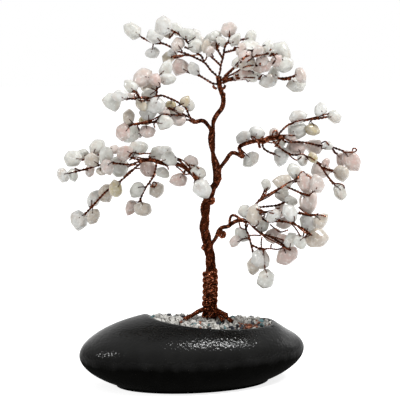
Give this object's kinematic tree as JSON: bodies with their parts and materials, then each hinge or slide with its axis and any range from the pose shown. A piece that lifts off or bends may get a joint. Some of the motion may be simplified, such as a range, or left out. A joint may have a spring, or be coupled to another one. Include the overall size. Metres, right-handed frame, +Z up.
{
  "type": "gemstone tree ornament",
  "caption": "Copper wire tree hung with drilled tumbled quartz chips, standing in a black pebble-shaped ceramic pot topped with gravel; each bough bends at its fork.",
  "frame": {"origin": "middle of the pot's flat foot, on the table", "axes": "+Z up along the trunk, +X along the pot towards the wide end of its mouth, -Y towards the viewer"},
  "size_m": [0.185, 0.1099, 0.2257],
  "materials": {
    "pot": "matte black, pebbled",
    "plaster": "matt cast plaster",
    "copper_wire": "dark oxidised copper",
    "clear_quartz": "tumbled, milky",
    "rose_quartz": "tumbled, milky",
    "honey_quartz": "tumbled, milky",
    "pale_gravel": "broken chips",
    "rust_gravel": "broken chips",
    "teal_gravel": "broken chips",
    "dark_gravel": "broken chips"
  },
  "bodies": {
    "base": {"crown_strand": "copper_wire", "dark_gravel": "dark_gravel", "lower_left_strand": "copper_wire", "lower_right_strand": "copper_wire", "pale_gravel": "pale_gravel", "plaster_fill": "plaster", "pot": "pot", "rust_gravel": "rust_gravel", "teal_gravel": "teal_gravel", "trunk_wrap": "copper_wire", "upper_left_strand": "copper_wire", "upper_right_strand": "copper_wire"},
    "crown_bough": {"crown_bundle": "copper_wire", "crown_clear_chips": "clear_quartz", "crown_honey_chips": "honey_quartz", "crown_rose_chips": "rose_quartz", "crown_sprays": "copper_wire", "crown_stems": "copper_wire"},
    "upper_left_bough": {"upper_left_bundle": "copper_wire", "upper_left_clear_chips": "clear_quartz", "upper_left_honey_chips": "honey_quartz", "upper_left_rose_chips": "rose_quartz", "upper_left_sprays": "copper_wire", "upper_left_stems": "copper_wire"},
    "lower_left_bough": {"lower_left_bundle": "copper_wire", "lower_left_clear_chips": "clear_quartz", "lower_left_honey_chips": "honey_quartz", "lower_left_rose_chips": "rose_quartz", "lower_left_sprays": "copper_wire", "lower_left_stems": "copper_wire"},
    "upper_right_bough": {"upper_right_bundle": "copper_wire", "upper_right_clear_chips": "clear_quartz", "upper_right_honey_chips": "honey_quartz", "upper_right_rose_chips": "rose_quartz", "upper_right_sprays": "copper_wire", "upper_right_stems": "copper_wire"},
    "lower_right_bough": {"lower_right_bundle": "copper_wire", "lower_right_clear_chips": "clear_quartz", "lower_right_honey_chips": "honey_quartz", "lower_right_rose_chips": "rose_quartz", "lower_right_sprays": "copper_wire", "lower_right_stems": "copper_wire"}
  },
  "joints": [
    {"name": "crown_bend", "type": "hinge", "parent": "base", "child": "crown_bough", "pos_m": [0.01718, -0.00156, 0.18145], "axis": [0.2419, 0.9703, 0], "range_deg": [-15, 15]},
    {"name": "upper_left_bend", "type": "hinge", "parent": "base", "child": "upper_left_bough", "pos_m": [0.00899, -0.00117, 0.16019], "axis": [0.2419, 0.9703, 0], "range_deg": [-15, 15]},
    {"name": "lower_left_bend", "type": "hinge", "parent": "base", "child": "lower_left_bough", "pos_m": [0.00864, 0.00386, 0.12297], "axis": [0.2419, 0.9703, 0], "range_deg": [-15, 15]},
    {"name": "upper_right_bend", "type": "hinge", "parent": "base", "child": "upper_right_bough", "pos_m": [0.01883, 0.00008, 0.13549], "axis": [0.2419, 0.9703, 0], "range_deg": [-15, 15]},
    {"name": "lower_right_bend", "type": "hinge", "parent": "base", "child": "lower_right_bough", "pos_m": [0.01357, -0.00232, 0.08986], "axis": [0.2419, 0.9703, 0], "range_deg": [-15, 15]}
  ]
}
